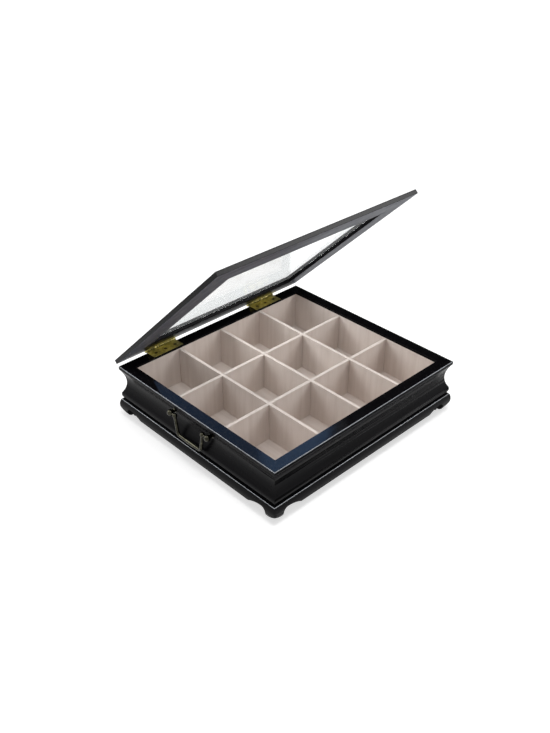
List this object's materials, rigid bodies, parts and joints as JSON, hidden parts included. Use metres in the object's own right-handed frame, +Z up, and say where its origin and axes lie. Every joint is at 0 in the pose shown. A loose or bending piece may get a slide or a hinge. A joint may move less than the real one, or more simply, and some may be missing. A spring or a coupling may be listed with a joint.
{
  "type": "tea bag organizer box",
  "caption": "Black lacquered wooden keeper with a coved body, bracket feet, a grid of pale compartments, a hinged glazed lid and a drop bail handle at each end.",
  "frame": {"origin": "under the middle of the box, on the surface that it stands on", "axes": "+X to the right seen from the front, +Y to the hinges at the back, +Z up"},
  "size_m": [0.321, 0.2837, 0.2724],
  "materials": {
    "black_lacquer": "high gloss black lacquer",
    "pale_wood": "fine grained pale veneer, matt sealed",
    "panel_board": "dark stained board",
    "felt": "felt",
    "glass": "clear sheet glass",
    "brass": "yellow brass, lightly tarnished",
    "antique_brass": "dark antique brass, rubbed bright on its high spots",
    "steel": "zinc plated"
  },
  "bodies": {
    "box": {"front_side": "black_lacquer", "back_side": "black_lacquer", "left_side": "black_lacquer", "right_side": "black_lacquer", "front_plinth": "black_lacquer", "back_plinth": "black_lacquer", "left_plinth": "black_lacquer", "right_plinth": "black_lacquer", "front_ledge": "black_lacquer", "back_ledge": "black_lacquer", "left_ledge": "black_lacquer", "right_ledge": "black_lacquer", "bottom_panel": "panel_board", "foot_blocks": "black_lacquer", "foot_pads": "felt", "front_liner": "pale_wood", "back_liner": "pale_wood", "left_liner": "pale_wood", "right_liner": "pale_wood", "floor_liner": "pale_wood", "column_divider_1": "pale_wood", "column_divider_2": "pale_wood", "column_divider_3": "pale_wood", "row_divider_1": "pale_wood", "row_divider_2": "pale_wood", "left_hinge_box_leaf": "brass", "left_hinge_pin": "brass", "right_hinge_box_leaf": "brass", "right_hinge_pin": "brass", "box_leaf_screws": "brass", "left_handle_posts": "antique_brass", "left_handle_nuts": "steel", "right_handle_posts": "antique_brass", "right_handle_nuts": "steel"},
    "lid": {"lid_front_rail": "black_lacquer", "lid_back_rail": "black_lacquer", "lid_left_rail": "black_lacquer", "lid_right_rail": "black_lacquer", "lid_glass": "glass", "lid_front_bead": "black_lacquer", "lid_back_bead": "black_lacquer", "lid_left_bead": "black_lacquer", "lid_right_bead": "black_lacquer", "left_hinge_lid_leaf": "brass", "right_hinge_lid_leaf": "brass", "lid_leaf_screws": "brass"},
    "left_bail": {"left_handle_bail": "antique_brass"},
    "right_bail": {"right_handle_bail": "antique_brass"}
  },
  "joints": [
    {"name": "lid_hinge", "type": "hinge", "parent": "box", "child": "lid", "pos_m": [0, 0.1416, 0.07265], "axis": [-1, 0, 0], "range_deg": [-44.5, 65.5]},
    {"name": "left_bail_swing", "type": "hinge", "parent": "box", "child": "left_bail", "pos_m": [-0.1565, 0, 0.06], "axis": [0, 1, 0], "range_deg": [0, 150]},
    {"name": "right_bail_swing", "type": "hinge", "parent": "box", "child": "right_bail", "pos_m": [0.1565, 0, 0.06], "axis": [0, -1, 0], "range_deg": [0, 150]}
  ]
}
